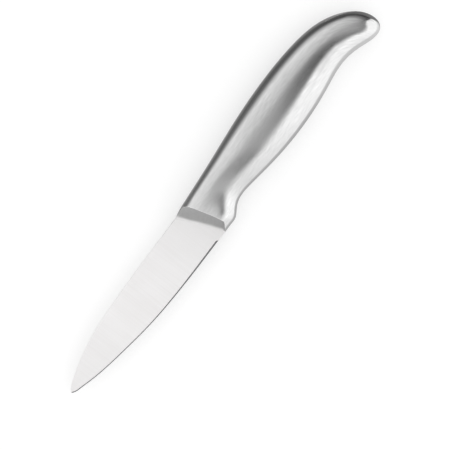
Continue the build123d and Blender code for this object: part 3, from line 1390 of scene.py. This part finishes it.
# Grey cards that the steel mirrors, in groups that hang one way at one place on that axis, in millimetres
# A card has four corners: two places on the other axes, in millimetres, and how bright it is there
CARDS = {
    (Hang.LEVEL, 125.0): {
        "over_blade": ((-130, 70, 1.05), (-20, 70, 1.2), (-20, -70, 1.1), (-130, -70, 0.6)),
        "over_spine": ((-20, 150, 0.42), (74, 150, 0.54), (74, 90, 0.88), (-20, 90, 0.8)),
        "over_back": ((74, 150, 0.54), (250, 150, 0.6), (250, 90, 0.5), (74, 90, 0.88)),
        "over_crown": ((-20, 90, 0.8), (74, 90, 0.88), (74, 12, 0.57), (-20, 12, 0.78)),
        "over_hump": ((74, 90, 0.88), (250, 90, 0.5), (250, 12, 0.2), (74, 12, 0.57)),
        "over_front": ((-20, 12, 0.78), (20, 12, 0.74), (20, -19, 0.34), (-20, -42, 0.7)),
        "over_middle": ((20, 12, 0.74), (74, 12, 0.57), (75.5, 0, 0.08), (20, -19, 0.34)),
        "over_valley": ((20, -19, 0.34), (75.5, 0, 0.08), (78, -19, 0.04), (20, -19.5, 0.34)),
        "over_waist": ((74, 12, 0.57), (105, 12, 0.43), (107, -10, 0.38), (75.5, 0, 0.08)),
        "over_bend": ((75.5, 0, 0.08), (107, -10, 0.38), (110, -60, 0.24), (78, -19, 0.04)),
        "over_tail": ((105, 12, 0.43), (250, 12, 0.2), (250, -12, 0.05), (110, -60, 0.24)),
        "past_front": ((-20, -42, 0.7), (20, -19.5, 0.34), (20, -48, 0.86), (-20, -62, 0.8)),
        "past_middle": ((20, -19.5, 0.34), (78, -19, 0.04), (74.5, -27, 1.3), (20, -48, 0.86)),
        "past_belly": ((52, -35.6, 1.12), (74.5, -27, 1.3), (83.5, -60, 0.85), (55, -75, 1.0)),
        "past_waist": ((78, -19, 0.04), (110, -60, 0.24), (95, -100, 0.3), (74.5, -27, 1.3)),
        "past_tail": ((110, -60, 0.24), (165, -40, 0.2), (170, -80, 1.4), (100, -130, 1.05)),
    },
    (Hang.LEVEL, 124.0): {
        "over_chin": ((-1, -8, 0.4), (18, -11, 0.24), (21, -35, 0.08), (5, -30, 0.08)),
    },
    (Hang.LEVEL, 0.8): {
        "under_spine": ((-20, 150, 0.11), (250, 150, 0.06), (250, 35, 0.05), (-20, 35, 0.15)),
        "under_back": ((-20, 35, 0.15), (100, 35, 0.1), (100, 0, 0.42), (-20, 0, 0.5)),
        "under_belly": ((-100, -200, 0.65), (50, -200, 0.9), (50, 0, 0.42), (-100, 0, 0.4)),
        "under_hook": ((50, -200, 0.9), (200, -200, 1.1), (200, 0, 1.15), (50, 0, 0.42)),
    },
    (Hang.LEVEL, 1.2): {
        "under_tail": ((100, 35, 0.05), (250, 35, 0.05), (250, -15, 0.06), (100, -15, 0.25)),
    },
    (Hang.ALONG, 150.0): {
        "spine_low": ((-40, 0, 0.16), (100, 0, 0.09), (100, 60, 0.12), (-40, 60, 0.18)),
        "spine_high": ((-40, 60, 0.18), (100, 60, 0.12), (100, 125, 0.57), (-40, 125, 0.4)),
        "corner_low": ((100, 0, 0.09), (250, 0, 0.05), (250, 30, 0.06), (100, 60, 0.12)),
        "corner_high": ((100, 60, 0.12), (250, 30, 0.06), (250, 125, 0.6), (100, 125, 0.57)),
    },
    (Hang.ALONG, -200.0): {
        "belly_front": ((-120, 0, 0.52), (50, 0, 0.95), (50, 500, 1.13), (-120, 500, 0.55)),
        "belly_hook": ((50, 0, 0.95), (180, 0, 1.1), (180, 500, 1.12), (50, 500, 1.13)),
    },
    (Hang.ACROSS, 250.0): {
        "tail": ((150, 0, 0.03), (-12, 0, 0.03), (-12, 125, 0.07), (150, 125, 0.6)),
    },
}


@dataclass(frozen=True)
class Card:
    """A grey card that only the steel mirrors, as a photographer holds over shiny metal.

    Fields:
        name: What it does.
        hang: How it hangs.
        place: Its place on the axis that it is square to, in millimetres.
        corners: Its four corners, each with its brightness, which blends between them.
        steps: Points along each side.
    """

    name: str
    hang: Hang
    place: float
    corners: tuple[tuple[float, float, float], ...]
    steps: int = 9

    def build(self) -> Object:
        """Makes the card as a grid, so that its brightness blends evenly.

        Returns:
            The card, seen by glossy rays alone.
        """
        glow = bpy.data.materials.new(self.name)
        tree = emptied(glow)
        glow.cycles.emission_sampling = "NONE"
        bright = add_node(tree, "ShaderNodeAttribute", {"attribute_name": "bright"}).outputs["Fac"]
        light = add_node(tree, "ShaderNodeEmission", {}, {"Strength": bright})
        add_node(tree, "ShaderNodeOutputMaterial", {}, {"Surface": light})

        corners = np.insert(np.array(self.corners, float), self.hang.value, self.place, axis=1)
        share = np.linspace(0, 1, self.steps)[:, None]
        near = corners[0] + (corners[1] - corners[0]) * share
        far = corners[3] + (corners[2] - corners[3]) * share
        patch = Patch(near[:, None] + (far - near)[:, None] * share)
        points = patch.grid.reshape(-1, 4)
        mesh = bpy.data.meshes.new(self.name)
        mesh.from_pydata((points[:, :3] * MM).tolist(), [], patch.quads(0).tolist())
        layer = mesh.attributes.new("bright", "FLOAT", "POINT")
        layer.data.foreach_set("value", points[:, 3].astype(np.float32))
        mesh.materials.append(glow)
        card = put(self.name, mesh)
        card.visible_camera = card.visible_diffuse = card.visible_shadow = False
        card.visible_transmission = card.visible_volume_scatter = False
        return card


@dataclass(frozen=True)
class Studio:
    """White floor, soft white dome, one broad soft lamp and grey cards.

    Fields:
        aim: Point of the row that the photograph's middle shows, in metres.
        right, up: The picture's right and up, in the row's frame.
        span: Width of the picture at the aim, in metres.
        distance: Of the camera from the aim.
        dome: Brightness of the dome.
        floor_white: Reflected share of the light on the floor.
        floor_glow: Light that tops it up to white for the camera and the steel.
        floor_reach: From its middle to its sides, in metres.
        lamp_size: Side of the square lamp, in metres.
        lamp_radiance: Its brightness.
        lamp_right, lamp_height: Its place to the picture's right and over the floor, in metres.
    """

    aim: tuple[float, float, float] = (-0.0061, -0.0107, 0.0073)
    right: tuple[float, float, float] = (0.6046, -0.7965, 0.0)
    up: tuple[float, float, float] = (0.7965, 0.6046, 0.0)
    span: float = 0.1875
    distance: float = 2.5
    dome: float = 0.85
    floor_white: float = 0.7
    floor_glow: float = 0.42
    floor_reach: float = 4.0
    lamp_size: float = 2.5
    lamp_radiance: float = 0.18
    lamp_right: float = 1.1
    lamp_height: float = 0.945

    def camera(self) -> None:
        """Sets the camera square over the knife, with a long lens."""
        lens = bpy.data.cameras.new("camera")
        lens.sensor_width = 36.0
        lens.lens = lens.sensor_width * self.distance / self.span
        lens.clip_start, lens.clip_end = 0.05, 20.0
        camera = put("camera", lens)
        right, up = Vector(self.right).normalized(), Vector(self.up).normalized()
        back = right.cross(up)
        turned = Matrix((right, up, back)).transposed().to_4x4()
        camera.matrix_world = Matrix.Translation(Vector(self.aim) + back * self.distance) @ turned
        bpy.context.scene.camera = camera

    def floor(self) -> None:
        """Lays a white floor that keeps the shadow.

        What the camera and the steel see of it is topped up to white.
        """
        paint = bpy.data.materials.new("floor_white_board")
        tree = emptied(paint)
        matt = add_node(tree, "ShaderNodeBsdfDiffuse", {}, {"Color": (*[self.floor_white] * 3, 1.0)})
        path = add_node(tree, "ShaderNodeLightPath", {})
        seen = path.outputs["Is Camera Ray"]
        for ray in ("Is Glossy Ray", "Is Transmission Ray"):
            either = {"operation": "ADD", "use_clamp": True}
            seen = add_node(tree, "ShaderNodeMath", either, {0: seen, 1: path.outputs[ray]}).outputs[0]
        strength = add_node(tree, "ShaderNodeMath", {"operation": "MULTIPLY"}, {0: seen, 1: self.floor_glow})
        glow = add_node(tree, "ShaderNodeEmission", {}, {"Strength": strength})
        both = add_node(tree, "ShaderNodeAddShader", {}, {0: matt, 1: glow})
        add_node(tree, "ShaderNodeOutputMaterial", {}, {"Surface": both})
        mesh = bpy.data.meshes.new("floor")
        signs = ((-1, -1, 0), (1, -1, 0), (1, 1, 0), (-1, 1, 0))
        mesh.from_pydata([Vector(sign) * self.floor_reach for sign in signs], [], [(0, 1, 2, 3)])
        mesh.materials.append(paint)
        put("floor", mesh)

    def lights(self) -> None:
        """Hangs a white dome, and one broad soft lamp on the picture's right."""
        world = bpy.data.worlds.new("soft_dome")
        bpy.context.scene.world = world
        tree = emptied(world)
        sky = add_node(tree, "ShaderNodeBackground", {}, {"Color": (1, 1, 1, 1), "Strength": self.dome})
        add_node(tree, "ShaderNodeOutputWorld", {}, {"Surface": sky})
        lamp = bpy.data.lights.new("soft_lamp", "AREA")
        lamp.shape = "SQUARE"
        lamp.size = self.lamp_size
        lamp.energy = math.pi * self.lamp_size**2 * self.lamp_radiance
        piece = put("soft_lamp", lamp)
        place = Vector(self.right) * self.lamp_right + Vector((0, 0, self.lamp_height))
        piece.matrix_world = Matrix.Translation(place) @ place.to_track_quat("Z", "Y").to_matrix().to_4x4()
        piece.visible_camera = False

    def build(self) -> None:
        """Sets up the whole studio."""
        bpy.context.scene.view_settings.view_transform = "Standard"
        self.camera()
        self.floor()
        self.lights()
        for (hang, place), group in CARDS.items():
            for name, corners in group.items():
                Card(f"card_{name}", hang, place, corners).build()


def drawing_origin(blade: BladeForm) -> Array:
    """Where the row's origin lies in the drawing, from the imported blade's box.

    Args:
        blade: Form of the blade, whose tip is at X = 0 and whose spine is at the spine's rise.

    Returns:
        The origin, in millimetres.
    """
    low, high = (np.array(corner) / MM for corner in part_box("blade"))
    return np.array([-low[0], blade.spine_rise - high[1], -(low[2] + high[2]) / 2])


def main() -> None:
    """Builds the knife's pieces in order, dresses what stays hidden, and sets up the studio."""
    logging.basicConfig(level=logging.INFO, format="%(name)s: %(message)s")
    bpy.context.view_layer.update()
    blade_form, handle_form = BladeForm(), HandleForm()
    origin = drawing_origin(blade_form)
    parts: list[SubAssembly] = [
        Blade(blade_form),
        Bolster(handle_form, blade_form),
        HandleShell(handle_form, Flank.LEFT),
        HandleShell(handle_form, Flank.RIGHT),
        SeamWeld(handle_form),
        BolsterWeld(handle_form),
    ]
    for part in parts:
        piece = part.build(origin)
        box = np.array(piece.bound_box) / MM
        size = (box.max(0) - box.min(0)).round(2)
        log.info("%s: %d faces, %s mm, for %s", piece.name, len(piece.data.polygons), size, part.nodes)
    inner_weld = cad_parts["tang_weld"]
    inner_weld.data.materials.clear()
    inner_weld.data.materials.append(RAW_WELD.material())
    log.info("tang_weld: kept from the packed model, out of sight in the handle")
    Studio().build()


if __name__ == "__main__":
    main()
